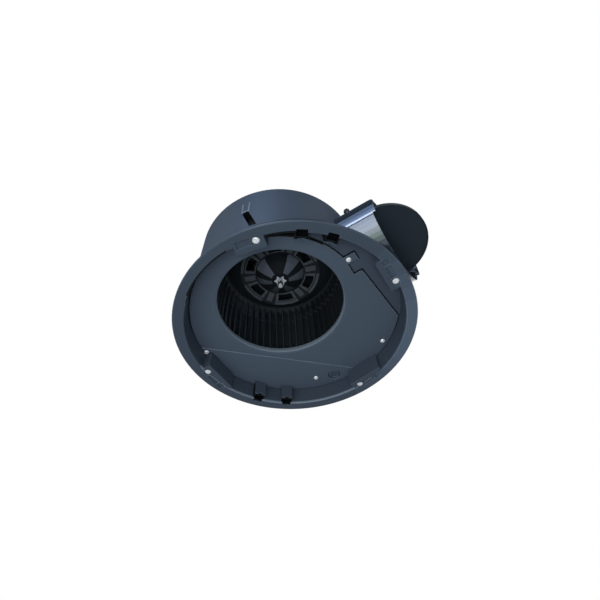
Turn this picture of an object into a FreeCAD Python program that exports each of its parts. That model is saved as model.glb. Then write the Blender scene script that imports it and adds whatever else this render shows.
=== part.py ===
import FreeCAD, Part
import math
import os

from FreeCAD import Vector

# Ceiling exhaust fan with a side outlet, seen as it hangs: the room is below, +Z points up into
# the ceiling space. The origin is the centre of the mounting flange, on the face that meets the
# ceiling. +X runs along the outlet duct. All lengths are in millimetres, angles in degrees.

# Recessed pan and the mounting flange round it
pan_r = 145.0
pan_wall = 2.5
pan_draft = 1.0
pan_depth = 27.0
floor_t = 2.5
flange_width = 12.5
flange_t = 2.5
flange_chamfer = 1.2
recess_wall = 1.0
recess_from = -128.0
recess_to = -68.0
pan_out_r = pan_r + pan_wall
flange_r = pan_out_r + flange_width
floor_top = pan_depth + floor_t

# The outlet collar's size and place, which set the height above the ceiling
duct_r = 62.5
duct_low = 11.0
duct_drop = 2.0

# Fan axis and scroll housing, whose drum is flush with the pan on one side
drum_offset = 29.5
drum_r = pan_out_r - drum_offset
axis_x = -5.0
axis_y = -drum_offset
drum_top = duct_low + 2 * duct_r + duct_drop
shell_t = 2.5
back_in = drum_top - shell_t
scroll_grow_side = 22.0
scroll_grow_far = 12.0
scroll_end_angle = 50.0
slot_depth = 13.5
drum_end_angle = -5.0
tongue_r = 6.0
tongue_gap = 6.5

# Impeller
blade_count = 54
wheel_gap = 21.0
blade_depth = 11.0
blade_out_r = drum_r - wheel_gap
blade_in_r = blade_out_r - blade_depth
blade_t = 1.2
wheel_low_gap = 5.0
wheel_high_gap = 4.5
blade_low = floor_top + wheel_low_gap
blade_top = back_in - wheel_high_gap
ring_h = 3.0
disc_t = 2.0
cone_h = 25.0
hub_ring_z = blade_top - cone_h
hub_ring_r = 59.0
dome_r = 36.0
dome_h = 20.0
dome_low = hub_ring_z - dome_h
hub_relief_h = 1.5
hub_band_in = 53.5
hub_block_half = 4.2
petal_angle = 38.0
boss_r = 10.0
boss_len = 11.0
window_count = 6
window_step = 2.5
window_in_r = dome_r + window_step
window_out_r = 51.5
window_angle = 28.0
window_frame = 5.0
window_start = -8.0

# Inlet plate and its orifice
plate_t = 2.0
plate_low = pan_depth - plate_t
orifice_inset = 1.0
orifice_r = blade_in_r - orifice_inset
orifice_flare = 3.0
orifice_depth = 8.0
plate_gap = 2.6
plate_r = pan_r - plate_gap
plate_arc_inset = 11.2
plate_arc_r = drum_r - plate_arc_inset
near_arc_at = (-20.0, -20.0)
near_arc_inset = 1.7
near_arc_r = drum_r - near_arc_inset
near_arc_x = -12.0
groove_depth = 1.8
seal_t = 0.8
plate_overlap = 7.0
tab_width = 11.0
tab_length = 15.0
lug_pad_r = 5.5
edge_step_back = 4.0
edge_step_y = -21.5
edge_step_out = 11.7
edge_lean = 10.9
edge_long = 107.5
crease_from = (-138.0, -27.0)
crease_to = (9.0, 117.0)
crease_h = 1.0

# Motor
shaft_r = 4.0
shaft_ahead = 14.0
shaft_low = dome_low - shaft_ahead
shaft_top = drum_top - 1.0
stator_over = 4.0
stator_r = dome_r + stator_over
stator_drop = 24.0
stator_low = drum_top - stator_drop
stator_h = 16.0
stator_top = stator_low + stator_h
slot_count = 12
rotor_r = 20.5
air_gap = 0.4
bearing_r = 8.0
bearing_len = 6.0
front_bearing_low = stator_low - 12.5
rear_bearing_low = stator_top + 4.2
motor_bolt_gap = 7.0
motor_bolt_r = stator_r + motor_bolt_gap
motor_bolt_count = 3
motor_screw_r = 2.0
motor_head_r = 4.0
motor_head_h = 2.4
grommet_h = 2.5
ear_t = 2.2
ear_low = back_in - grommet_h - ear_t

# Outlet duct and its pair of shutters
duct_y = -9.6
duct_z = duct_low + duct_r
duct_wall = 2.5
duct_draft_in = 0.8
duct_draft_out = 0.4
duct_overhang = 15.9
duct_mouth = pan_out_r + duct_overhang
mouth_yaw = 0.104
mouth_pitch = 0.067
seat_clear = 0.7
seat_back = 7.8
duct_seat_from = pan_out_r + seat_clear
duct_seat_to = duct_mouth - seat_back
pan_clear = 0.3
arm_clear = 3.0
arm_clear_z = 13.5
spigot_wall = 2.5
spigot_gap = 0.2
spigot_r = duct_r - duct_wall - spigot_gap
spigot_back = 3.5
spigot_end = pan_out_r - spigot_back
lug_reach = 4.0
lug_angle = 15.0
duct_screw_places = ((150.0, 22.5), (90.0, 15.5), (30.0, 7.5))
duct_boss_r = 4.2
duct_boss_h = 3.0
duct_screw_r = 1.5
duct_head_r = 2.8
duct_head_h = 1.8
shutter_back = 13.4
shutter_x = duct_mouth - shutter_back
shutter_clear = 2.0
shutter_r = duct_r - duct_wall - shutter_clear
shutter_t = 1.6
shutter_gap = 1.0
knuckle_r = 3.0
rod_r = 1.5
rod_bite = 1.3
run_gap = 0.05

# Swing-out ceiling clamps
clamp_inset = 1.5
clamp_r = pan_r - clamp_inset
clamp_angles = (-77.0, -1.0, 80.0, 182.0)
clamp_screw_r = 2.0
clamp_head_r = 4.6
clamp_head_h = 2.4
clamp_park_drop = 10.0
clamp_park_z = pan_depth - clamp_park_drop
clamp_park_low_drop = 5.5
clamp_park_low_z = duct_low - clamp_park_low_drop
low_clamp = 1
arm_len = 24.0
arm_tuck = 7.0
arm_width = 8.0
arm_t = 2.2
arm_boss_r = 4.5
arm_boss_h = 6.0
retainer_r = 4.0
retainer_t = 1.5
retainer_gap = 0.3
bay_reach = 10.5
bay_in_r = clamp_r - bay_reach
bay_wall = 2.0
bay_back = 10.0
bay_fronts = (27.0, 37.0, 41.0, 43.0)
bay_floor_t = 5.0
pocket_len = 19.0
pocket_width = 9.0
pocket_depth = 1.8
pocket_two = 9.0

# Brackets for the springs of the room-side grille, let into the pan wall
bracket_angles = (-56.2, -42.2, 127.5, 145.0)
bracket_width = 16.5
bracket_reach = 10.5
bracket_out = 5.5
bracket_out_h = 12.0
bracket_wall = 1.6
bracket_skin = 1.0
bracket_fit = 0.1
bracket_tongue = 4.5

# Screws that hold the inlet plate: how far in from the pan wall, and at what angle
plate_screw_places = ((31.1, -23.3), (10.4, 51.3), (22.4, 106.5), (4.7, 187.8), (5.6, -96.2))
plate_screw_r = 1.75
plate_head_r = 3.4
plate_head_h = 2.2
screw_gap = 0.2
screw_boss_r = 4.5
screw_boss_h = 18.0
boss_web = 16.0

# Wiring: terminal box above the pan floor, cable gland, blanking plug in the floor
box_angle = 155.0
box_depth = 24.0
box_margin = 5.5
box_in = pan_out_r - box_depth - box_margin
box_half = 28.0
box_h = 36.0
box_wall = 2.0
block_inset = 4.0
block_low = block_inset - box_half
block_high = -4.0
block_pitch = (block_high - block_low) * 0.4
can_low = -1.0
can_high = box_half - 5.0

# Half-size of the blocks that take in everything
beyond_all = 300.0
gland_r = 7.5
gland_bore_r = 3.6
plug_inset = 17.25
plug_angle = 93.6
plug_r = 8.5


def polar(radius, angle):
    turn = math.radians(angle)
    return radius * math.cos(turn), radius * math.sin(turn)


plate_screw_at = [polar(pan_r - inset, angle) for inset, angle in plate_screw_places]
plug_at = polar(pan_r - plug_inset, plug_angle)


def cylinder(radius, low, high, x=0.0, y=0.0):
    return Part.makeCylinder(radius, high - low, Vector(x, y, low))


def ring(outer, inner, low, high, x=0.0, y=0.0):
    return cylinder(outer, low, high, x, y).cut(cylinder(inner, low - 1, high + 1, x, y))


def block(x0, x1, y0, y1, z0, z1):
    return Part.makeBox(x1 - x0, y1 - y0, z1 - z0, Vector(x0, y0, z0))


def turned(profile, x=0.0, y=0.0):
    """A solid of revolution about the vertical line at x, y, from (radius, height) points."""
    points = [Vector(r + x, y, z) for r, z in profile]
    face = Part.Face(Part.makePolygon(points + points[:1]))
    return face.revolve(Vector(x, y, 0), Vector(0, 0, 1), 360)


def prism(points, low, high):
    outline = [Vector(x, y, low) for x, y in points]
    return Part.Face(Part.makePolygon(outline + outline[:1])).extrude(Vector(0, 0, high - low))


def spun(shape, angle, x=0.0, y=0.0):
    copy = shape.copy()
    copy.rotate(Vector(x, y, 0), Vector(0, 0, 1), angle)
    return copy


def along_x(radius, x0, x1, y=duct_y, z=duct_z):
    return Part.makeCylinder(radius, x1 - x0, Vector(x0, y, z), Vector(1, 0, 0))


def along_y(radius, y0, y1, x, z):
    return Part.makeCylinder(radius, y1 - y0, Vector(x, y0, z), Vector(0, 1, 0))


def arc_edge(centre, radius, start, end, z):
    """An arc through three points, so it may run either way round."""
    at = [polar(radius, a) for a in (start, (start + end) / 2, end)]
    points = [Vector(centre[0] + p[0], centre[1] + p[1], z) for p in at]
    return Part.Arc(*points).toShape(), points[0], points[2]


def scroll_face(z, inset):
    """The housing's outline in plan: a round drum that opens out into a scroll."""
    r1 = drum_r - inset
    r2 = r1 + scroll_grow_side
    r3 = r2 + scroll_grow_far
    o1 = (axis_x, axis_y)
    o2 = (axis_x + scroll_grow_side, axis_y)
    o3 = (o2[0], axis_y - scroll_grow_far)
    drum, first, a = arc_edge(o1, r1, drum_end_angle, -180, z)
    side, b, c = arc_edge(o2, r2, 180, 90, z)
    far, d, last = arc_edge(o3, r3, 90, scroll_end_angle, z)
    outlet = Part.LineSegment(last, first).toShape()
    return Part.Face(Part.Wire([drum, side, far, outlet]))


def scroll_body(low, high, inset):
    return scroll_face(low, inset).extrude(Vector(0, 0, high - low))


def screw(x, y, head_r, head_h, shank_r, seat, tip):
    """A cross-recessed pan-head screw driven upwards, its head below the seat."""
    head = turned([(0, -head_h), (head_r * 0.55, -head_h * 0.9), (head_r * 0.88, -head_h * 0.6),
                   (head_r, -head_h * 0.25), (head_r, 0), (0, 0)])
    long = head_r * 0.55
    wide = head_r * 0.11
    cross = block(-long, long, -wide, wide, -head_h - 1, -head_h * 0.5)
    head = head.cut(cross.fuse(spun(cross, 90)))
    head.translate(Vector(x, y, seat))
    return head.fuse(cylinder(shank_r, seat - 0.1, tip, x, y)).removeSplitter()


def clamp_bay_outer(front):
    """The box that a clamp hides in, for a clamp screw on the +X axis."""
    return block(bay_in_r, pan_out_r, -front, bay_back, -flange_t, floor_top)


def clamp_bay_hollow(front):
    hollow = block(bay_in_r + bay_wall, pan_out_r + 20, bay_wall - front, bay_back - bay_wall,
                   bay_floor_t - flange_t, pan_depth)
    sink = cylinder(clamp_head_r + 0.4, -flange_t - 1, clamp_head_h - flange_t, clamp_r, 0)
    hole = cylinder(clamp_screw_r + run_gap, -flange_t, bay_floor_t, clamp_r, 0)
    start = -clamp_head_r - 1.2
    left = clamp_r - pocket_width / 2 + 0.8
    pocket = block(left, left + pocket_width, start - min(pocket_len, front - 9), start,
                   -flange_t - 1, pocket_depth - flange_t)
    cuts = [hollow, sink, hole, pocket]
    second = start - pocket_len - 2.0
    if front > pocket_two - second:
        cuts.append(block(left, left + pocket_width, second - pocket_two, second, -flange_t - 1,
                          pocket_depth - flange_t))
    return Part.makeCompound(cuts)


def mounting_frame():
    """Flange ring, pan wall and pan floor, with four clamp bays in the wall."""
    inner = pan_r - pan_draft
    profile = [(pan_r + flange_chamfer, -flange_t), (flange_r - 1.0, -flange_t), (flange_r, 1.0 - flange_t),
               (flange_r, 0), (pan_out_r, 0), (pan_out_r, floor_top), (0, floor_top),
               (0, pan_depth), (inner, pan_depth), (pan_r, flange_chamfer - flange_t)]
    frame = turned(profile).cut(thinned_wall())
    limit = cylinder(pan_out_r, -flange_t, floor_top)
    bays = [spun(clamp_bay_outer(f), a).common(limit) for f, a in zip(bay_fronts, clamp_angles)]
    frame = frame.multiFuse(bays)
    opening = scroll_body(0, drum_top, plate_overlap)
    frame = frame.cut(opening.cut(plate_edge_cut(plate_overlap, 0, drum_top)))
    frame = frame.cut(plate_groove(groove_depth))
    cuts = [spun(clamp_bay_hollow(f), a) for f, a in zip(bay_fronts, clamp_angles)]
    cuts += [spun(bracket_slot(), angle) for angle in bracket_angles]
    for x, y in plate_screw_at:
        cuts.append(cylinder(plate_screw_r + screw_gap, 0, drum_top, x, y))
    cuts.append(cylinder(plug_r - 1.6, 0, drum_top, *plug_at))
    for side in (-1, 1):
        cuts.append(spun(cylinder(1.5, 0, drum_top, box_in + 7, side * (box_half + 4)), box_angle))
    for cut in cuts:
        frame = frame.cut(cut)
    return frame.removeSplitter()


def thinned_wall():
    """On the side of the drum the pan wall is thinner, so that the recess is wider there."""
    far = pan_r + 100
    points = [(0, 0)]
    for step in range(5):
        points.append(polar(far, recess_from + (recess_to - recess_from) * step / 4))
    sector = prism(points, -flange_t - 1, pan_depth)
    return cylinder(pan_out_r - recess_wall, -flange_t - 1, pan_depth).common(sector)


def plate_groove(depth):
    """The gap all round the inlet plate, sunk into the pan floor."""
    outer = plate_blank(plate_gap - pan_draft, pan_depth - 0.5, pan_depth + depth)
    outer = outer.common(cylinder(pan_r - pan_draft, 0, drum_top))
    return outer.cut(plate_blank(0, 0, drum_top))


def plate_seal():
    """Foam strip at the bottom of the groove round the plate."""
    seat = pan_depth + groove_depth
    keep = block(-beyond_all, beyond_all, -beyond_all, beyond_all, seat - seal_t, seat)
    strip = plate_groove(groove_depth).common(keep)
    for x, y in plate_screw_at:
        strip = strip.cut(cylinder(plate_screw_r + screw_gap, 0, drum_top, x, y))
    strip = strip.cut(cylinder(plug_r, 0, drum_top, *plug_at))
    return [solid for solid in strip.Solids if solid.Volume > 2.0]


def bracket_slot():
    """The opening in pan wall and flange that takes one spring bracket, on the +X axis."""
    half = bracket_width / 2 + bracket_fit
    outer = pan_r + bracket_out + bracket_fit
    notch = bracket_width / 2 - bracket_wall
    slot = block(pan_r - 3, outer, -half, half, 0, bracket_out_h + bracket_fit)
    return slot.fuse(block(pan_r - 3, outer - bracket_skin, -notch, notch, -flange_t - 1, 0.1))


def spring_bracket(angle):
    """A box let into the pan wall, its mouth towards the room, with a tongue for a spring's end."""
    half = bracket_width / 2
    inner = pan_r - bracket_reach
    outer = pan_r + bracket_out
    top = plate_low - crease_h - 0.3
    body = block(inner, pan_r + 2, -half, half, 0, top)
    draft = turned([(0, -1), (pan_r, -1), (pan_r, 0), (pan_r - pan_draft, pan_depth), (0, pan_depth)])
    body = body.common(draft).fuse(block(pan_r - 2, outer, -half, half, 0, bracket_out_h))
    hollow = block(inner + bracket_wall, outer - bracket_skin, bracket_wall - half, half - bracket_wall,
                   -1, bracket_out_h - bracket_wall)
    scoop = block(inner - 1, inner + bracket_wall + 1, -half / 3, half / 3, -1, 2)
    tongue = block(inner + 3.4, inner + 4.8, 0.2 - half, half - 0.2, 0.4, bracket_tongue)
    return spun(body.cut(hollow).cut(scoop).fuse(tongue), angle).removeSplitter()


def plate_blank(grow, low, high):
    """The inlet plate's outline, larger all round by the growth, as a flat slab."""
    slab = cylinder(plate_r + grow, low, high)
    slab = slab.cut(plate_edge_cut(-grow, low, high)).fuse(plate_tab(grow, low, high))
    slab = slab.fuse(cylinder(lug_pad_r + grow, low, high, *plate_screw_at[-1]))
    for front, angle in zip(bay_fronts, clamp_angles):
        bay = block(bay_in_r - 0.4, flange_r, -front - 0.4, bay_back + 0.4, low - 1, high + 1)
        slab = slab.cut(spun(bay, angle))
    return slab


def inlet_plate():
    """The cover of the scroll, with the bell-mouthed inlet orifice."""
    bell_out = orifice_r + 2.0
    bell = turned([(orifice_r + orifice_flare, plate_low), (bell_out + 4, plate_low),
                   (bell_out + 4, pan_depth), (bell_out + 1.0, pan_depth), (bell_out, pan_depth + 1.5),
                   (bell_out, plate_low + orifice_depth), (orifice_r, plate_low + orifice_depth),
                   (orifice_r, plate_low + 3.6), (orifice_r + 0.4, plate_low + 2.0),
                   (orifice_r + 1.3, plate_low + 0.8)], axis_x, axis_y)
    plate = plate_blank(0, plate_low, pan_depth).fuse(raised_side())
    plate = plate.cut(cylinder(bell_out + 2, 0, drum_top, axis_x, axis_y)).fuse(bell)
    for x, y in plate_screw_at:
        plate = plate.cut(cylinder(plate_screw_r + screw_gap, 0, drum_top, x, y))
    return plate.cut(cylinder(plug_r + 1.0, 0, drum_top, *plug_at)).removeSplitter()


def raised_side():
    """The part of the plate beyond the crease stands a little nearer the room."""
    start = Vector(crease_from[0], crease_from[1], 0)
    run = Vector(crease_to[0], crease_to[1], 0) - start
    run.normalize()
    side = Vector(-run.y, run.x, 0)
    first = start - run * 60
    last = start + run * beyond_all
    low = plate_low - crease_h
    corners = [first, last, last + side * 200, first + side * 200]
    slab = prism([(corner.x, corner.y) for corner in corners], low, plate_low + 0.1)
    return slab.common(plate_blank(0, low, plate_low + 0.1))


def seat_of(x, y):
    """How low the plate's room face is at a point."""
    dx = crease_to[0] - crease_from[0]
    dy = crease_to[1] - crease_from[1]
    beyond = dx * (y - crease_from[1]) - dy * (x - crease_from[0]) > 0
    return plate_low - crease_h if beyond else plate_low


def plate_tab(grow, low, high):
    x, y = plate_screw_at[0]
    half = tab_width / 2 + grow
    return block(x - 9.0, x - 4.0 + tab_length + grow, y - half, y + half, low, high)


def plate_edge_cut(inset, low, high):
    """What the plate leaves bare beside the duct: an arc edge, a step and a long straight edge."""
    x, y = plate_screw_at[0]
    side = ring(400, plate_arc_r - inset, low - 1, high + 1, axis_x, axis_y)
    near = side.common(block(near_arc_x, 400, -400, y, low - 1, high + 1))
    wide = ring(400, near_arc_r - inset, low - 1, high + 1, *near_arc_at)
    near = near.fuse(wide.common(block(-400, near_arc_x, -400, -pan_r / 2, low - 1, high + 1)))
    step_x = x - edge_step_back - inset
    long_x = step_x + edge_step_out
    far_x = long_x + edge_lean
    far_y = edge_step_y + edge_long
    step_y = edge_step_y + inset
    points = [(step_x, y), (step_x, step_y), (long_x, step_y), (far_x, far_y), (beyond_all, far_y),
              (beyond_all, y)]
    return near.fuse(prism(points, low - 1, high + 1))


def plate_screws():
    top = floor_top + screw_boss_h - 4
    made = []
    for x, y in plate_screw_at:
        made.append(screw(x, y, plate_head_r, plate_head_h, plate_screw_r, seat_of(x, y), top))
    return made


def scroll_tongue(low, high):
    """The cut-off: a rounded nose between the scroll's start and the outlet."""
    nose_x, nose_y = polar(blade_out_r + tongue_gap + tongue_r, -23)
    nose_x += axis_x
    nose_y += axis_y
    nose = cylinder(tongue_r, low, high, nose_x, nose_y)
    wedge = prism([(nose_x - 2.5, nose_y + 5.4), (nose_x + 22, nose_y + 2), (nose_x + 10, nose_y - 22),
                   (nose_x - 5.8, nose_y - 1.5)], low, high)
    return nose.fuse(wedge)


def wall_slot():
    """A slanting blind slot in the drum wall above one clamp, in a thickened stretch of wall."""
    low_x, low_z = 28.0, 37.0
    top_x, top_z = 17.0, 77.0
    half = 4.5
    points = [Vector(low_x - half, -200, low_z), Vector(low_x + half, -200, low_z),
              Vector(top_x + half, -200, top_z), Vector(top_x - half, -200, top_z)]
    face = Part.Face(Part.makePolygon(points + points[:1]))
    floor_y = slot_depth - pan_out_r
    slot = face.extrude(Vector(0, floor_y + 200, 0))
    round_top = along_y(half, -200, floor_y, top_x, top_z)
    return slot.fuse(round_top)


def scroll_housing():
    """The drum and scroll, closed at the back by the plate that carries the motor."""
    outer = scroll_body(floor_top, drum_top, 0)
    spigot = along_x(spigot_r, axis_x, spigot_end)
    bore = along_x(spigot_r - spigot_wall, axis_x + 60, duct_mouth)
    above_floor = block(-beyond_all, beyond_all, -beyond_all, beyond_all, floor_top, beyond_all)
    cavity = scroll_body(floor_top, back_in, shell_t)
    pad = block(8, 38, 0.5 - pan_out_r, slot_depth + 3 - pan_out_r, floor_top, 82)
    bosses = [screw_boss(x, y).common(cylinder(pan_out_r, floor_top, drum_top)) for x, y in plate_screw_at]
    tongue = scroll_tongue(floor_top, drum_top).common(outer)
    shell = outer.fuse(spigot.common(above_floor))
    shell = shell.cut(cavity)
    shell = shell.cut(bore.common(above_floor))
    shell = shell.multiFuse([pad.common(outer), tongue.cut(bore)] + bosses)
    ribs = []
    rib_low = -1.5 - pan_out_r
    rib_high = 7.5 - pan_out_r
    for side in (-4.6, 4.6):
        ribs.append(block(17 + side - 0.9, 17 + side + 0.9, rib_low, rib_high, 80, 106))
    cap = along_y(5.6, rib_low, rib_high, 17, 77).cut(along_y(4.5, -200, -100, 17, 77))
    ribs.append(cap.common(block(0, 40, -200, 0, 77, 90)))
    skin = ring(drum_r + 1.2, drum_r - 1, floor_top, drum_top, axis_x, axis_y)
    shell = shell.multiFuse([r.common(skin) for r in ribs])
    cuts = [wall_slot(), cylinder(bearing_r + 4.0, back_in - 1, drum_top + 1, axis_x, axis_y)]
    for x, y in plate_screw_at:
        cuts.append(cylinder(plate_screw_r, 0, floor_top + screw_boss_h - 3.5, x, y))
    for x, y in motor_bolts():
        cuts.append(cylinder(motor_screw_r + screw_gap, back_in - 1, drum_top + 1, x, y))
    for angle, back in duct_screw_places:
        cuts.append(radial(duct_screw_r, pan_out_r - back, angle, spigot_r - 5, duct_r))
    for cut in cuts:
        shell = shell.cut(cut)
    return shell.removeSplitter()


def screw_boss(x, y):
    """A boss for a plate screw, tied to the nearest stretch of the housing's wall by a web."""
    boss = cylinder(screw_boss_r, floor_top, floor_top + screw_boss_h, x, y)
    away = Vector(x - axis_x, y - axis_y, 0)
    span = away.Length
    web = block(0, boss_web, -1.5, 1.5, floor_top, floor_top + screw_boss_h)
    inward = span > drum_r
    heading = math.degrees(math.atan2(away.y, away.x)) + (180 if inward else 0)
    web = spun(web, heading)
    web.translate(Vector(x, y, 0))
    wall = scroll_body(floor_top, back_in, 0).cut(scroll_body(floor_top, back_in, shell_t * 0.6))
    reach = scroll_body(floor_top, back_in, shell_t * 0.6)
    web = web.cut(reach) if inward else web.common(scroll_body(floor_top, back_in, 0))
    return boss.fuse(web)


def motor_bolts():
    for number in range(motor_bolt_count):
        x, y = polar(motor_bolt_r, 90 + number * 360 / motor_bolt_count)
        yield axis_x + x, axis_y + y


def mouth_side(ahead):
    """Everything outside the collar's mouth, which is cut a little askew."""
    beyond = block(0, 100, -200, 200, -200, 200)
    turn = FreeCAD.Rotation(Vector(1, 0, 0), Vector(1, -mouth_yaw, -mouth_pitch))
    beyond.Placement = FreeCAD.Placement(Vector(duct_mouth + ahead, duct_y, duct_z), turn)
    return beyond


def radial(radius, x, angle, inner, outer):
    """A round bar across the duct's wall, from one distance off the duct's axis to another."""
    y, z = polar(1.0, angle)
    start = Vector(x, duct_y + y * inner, duct_z + z * inner)
    return Part.makeCylinder(radius, outer - inner, start, Vector(0, y, z))


def outlet_duct():
    """Round collar over the housing's spigot, with two small lugs past its mouth."""
    far = duct_mouth + lug_reach + 10
    profile = [(axis_x, 0), (axis_x, duct_r - duct_draft_in), (duct_seat_from, duct_r),
               (duct_seat_to, duct_r), (far, duct_r - duct_draft_out), (far, 0)]
    points = [Vector(x, duct_y, duct_z + r) for x, r in profile]
    face = Part.Face(Part.makePolygon(points + points[:1]))
    tube = face.revolve(Vector(0, duct_y, duct_z), Vector(1, 0, 0), 360)
    bosses = []
    for angle, back in duct_screw_places:
        bosses.append(radial(duct_boss_r, pan_out_r - back, angle, duct_r - 2, duct_r + duct_boss_h))
    tube = tube.multiFuse(bosses).cut(along_x(duct_r - duct_wall, axis_x - 1, far + 1))
    past = mouth_side(0).cut(wedge_pair(lug_angle))
    tube = tube.cut(past).cut(mouth_side(lug_reach))
    body = scroll_body(0, drum_top + 50, -run_gap)
    tube = tube.cut(body)
    tube = tube.cut(block(-beyond_all, 0, -beyond_all, beyond_all, 0, beyond_all))
    tube = tube.cut(cylinder(pan_out_r + pan_clear, -1, floor_top + 0.2))
    tube = tube.cut(cylinder(pan_out_r + arm_clear, -1, arm_clear_z))
    for angle, back in duct_screw_places:
        tube = tube.cut(radial(duct_screw_r + run_gap, pan_out_r - back, angle, spigot_r - 5, duct_r + 10))
    reach = duct_r - rod_bite
    holes = along_y(rod_r + run_gap, duct_y - reach, duct_y + reach, shutter_x, duct_z)
    return largest(tube).cut(holes).removeSplitter()


def largest(shape):
    return max(shape.Solids, key=lambda solid: solid.Volume)


def wedge_pair(half):
    """Everything within half an angle of the horizontal, as seen along the duct."""
    tall = math.tan(math.radians(half)) * 100
    points = [Vector(0, duct_y, duct_z), Vector(0, duct_y + 100, duct_z - tall),
              Vector(0, duct_y + 100, duct_z + tall)]
    one = Part.Face(Part.makePolygon(points + points[:1])).extrude(Vector(beyond_all, 0, 0))
    two = one.mirror(Vector(0, duct_y, 0), Vector(0, 1, 0))
    return one.fuse(two)


def duct_screws():
    made = []
    seat = duct_r + duct_boss_h
    for angle, back in duct_screw_places:
        x = pan_out_r - back
        head = radial(duct_head_r, x, angle, seat, seat + duct_head_h)
        made.append(head.fuse(radial(duct_screw_r, x, angle, spigot_r - 1.8, seat + 0.1)))
    return made


def shutter(upper):
    """One half-moon shutter, drawn lying open, with its own knuckles on the rod."""
    side = 1 if upper else -1
    low = duct_z + (shutter_gap / 2 if upper else -shutter_gap / 2 - shutter_t)
    start = shutter_x + knuckle_r + 0.6
    disc = cylinder(shutter_r, low, low + shutter_t, shutter_x, duct_y)
    plate = disc.common(block(start, 400, -beyond_all, beyond_all, low, low + shutter_t))
    rim = ring(shutter_r, shutter_r - 1.6, low, low + shutter_t, shutter_x, duct_y)
    rim.translate(Vector(0, 0, side * 0.8))
    rim = rim.common(block(start, 400, -beyond_all, beyond_all, 0, beyond_all))
    parts = [rim]
    spans = ((-50, -36), (-8, 8), (36, 50)) if upper else ((-34, -10), (10, 34))
    for y0, y1 in spans:
        tube = along_y(knuckle_r, duct_y + y0, duct_y + y1, shutter_x, duct_z)
        arm = block(shutter_x, start + 1, duct_y + y0, duct_y + y1, low, low + shutter_t)
        parts += [tube, arm]
    bore = along_y(rod_r + run_gap, duct_y - 60, duct_y + 60, shutter_x, duct_z)
    return plate.multiFuse(parts).cut(bore).removeSplitter()


def shutter_rod():
    reach = duct_r - rod_bite
    return along_y(rod_r, duct_y - reach, duct_y + reach, shutter_x, duct_z)


def blade_outline():
    """A forward-curved blade of even thickness, as points along its two arcs."""
    outer = []
    inner = []
    steps = 4
    for step in range(steps + 1):
        share = step / steps
        radius = blade_in_r + (blade_out_r - blade_in_r) * share
        lead = -5.0 * share * share
        x, y = polar(radius, lead)
        slope = math.radians(lead - 10.0 * share * 57.3 * radius / (57.3 * (blade_out_r - blade_in_r)) * 0.12)
        nx, ny = -math.sin(slope), math.cos(slope)
        outer.append((x + nx * blade_t / 2, y + ny * blade_t / 2))
        inner.append((x - nx * blade_t / 2, y - ny * blade_t / 2))
    return outer + inner[::-1]


def impeller():
    """One moulding: petalled hub, ring with six windows, back disc, blades and inlet ring."""
    blade = prism(blade_outline(), blade_low + 0.5, blade_top - 0.5)
    blades = [spun(blade, number * 360 / blade_count) for number in range(blade_count)]
    inlet = ring(blade_out_r + 0.6, blade_in_r + 1.5, blade_low, blade_low + ring_h)
    face = hub_ring_z
    hub = turned([(shaft_r, dome_low), (boss_r, dome_low), (boss_r + 1, dome_low + 1.5), (18, dome_low + 5.5),
                  (27, dome_low + 11.5), (dome_r - 1, face - 1.0), (dome_r, face), (hub_ring_r, face),
                  (hub_ring_r + 1.5, face + disc_t), (blade_in_r - 3, blade_top - disc_t),
                  (blade_out_r, blade_top - disc_t), (blade_out_r, blade_top), (blade_in_r - 4, blade_top),
                  (hub_ring_r, face + 2 * disc_t), (hub_ring_r - 1.5, face + disc_t),
                  (dome_r - 1.5, face + disc_t), (26, dome_low + 14), (17, dome_low + 8),
                  (boss_r, dome_low + 5), (boss_r, dome_low + boss_len), (shaft_r, dome_low + boss_len)])
    for number in range(window_count):
        hub = hub.cut(spun(window(), window_start + number * 360 / window_count))
    wheel = hub.multiFuse([inlet] + blades + hub_relief()).removeSplitter()
    wheel.translate(Vector(axis_x, axis_y, 0))
    return wheel


def hub_relief():
    """What stands up on the hub: a frame round each window, and a block and a petal between two."""
    low = hub_ring_z - hub_relief_h
    high = hub_ring_z + 0.5
    made = []
    pitch = 360 / window_count
    crown = turned([(13, dome_low + 1.0), (18, dome_low + 4.0), (27, dome_low + 10.0),
                    (dome_r - 3, low - 2.5), (dome_r - 1, low + 0.5), (dome_r - 1, hub_ring_z),
                    (27, dome_low + 13), (18, dome_low + 7), (13, dome_low + 4)])
    frame = ring(hub_ring_r - 0.3, window_in_r - 1.3, low, high)
    frame = frame.common(sector(window_angle / 2 + window_frame)).cut(window())
    frame = frame.cut(ring(hub_band_in + 1.2, hub_band_in - 0.6, low - 1, low + hub_relief_h * 0.6))
    for number in range(window_count):
        turn = window_start + number * pitch
        made += spun(frame, turn).Solids
        bar = block(window_in_r - 0.5, hub_band_in + 0.2, -hub_block_half, hub_block_half, low, high)
        made.append(spun(bar, turn + pitch / 2))
        made += spun(crown.common(sector(petal_angle / 2)), turn + pitch / 2).Solids
    return made


def sector(half):
    """All that lies within half an angle of the +X axis, at the hub's height."""
    return prism([(0, 0), polar(120, -half), polar(120, half)], dome_low - 10, back_in)


def window():
    """One window of the hub ring, centred on +X."""
    return ring(window_out_r, window_in_r, dome_low, back_in).common(sector(window_angle / 2))


def impeller_clip():
    """Star-shaped push-on clip that holds the impeller on its shaft."""
    plate = turned([(shaft_r, dome_low - 1.6), (5.5, dome_low - 1.3), (9.4, dome_low - 0.7),
                    (9.4, dome_low), (shaft_r, dome_low)])
    corners = [polar(9.4 if number % 2 else 6.2, number * 30) for number in range(12)]
    clip = plate.common(prism(corners, dome_low - 2, dome_low + 1)).removeSplitter()
    clip.translate(Vector(axis_x, axis_y, 0))
    return clip


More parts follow.
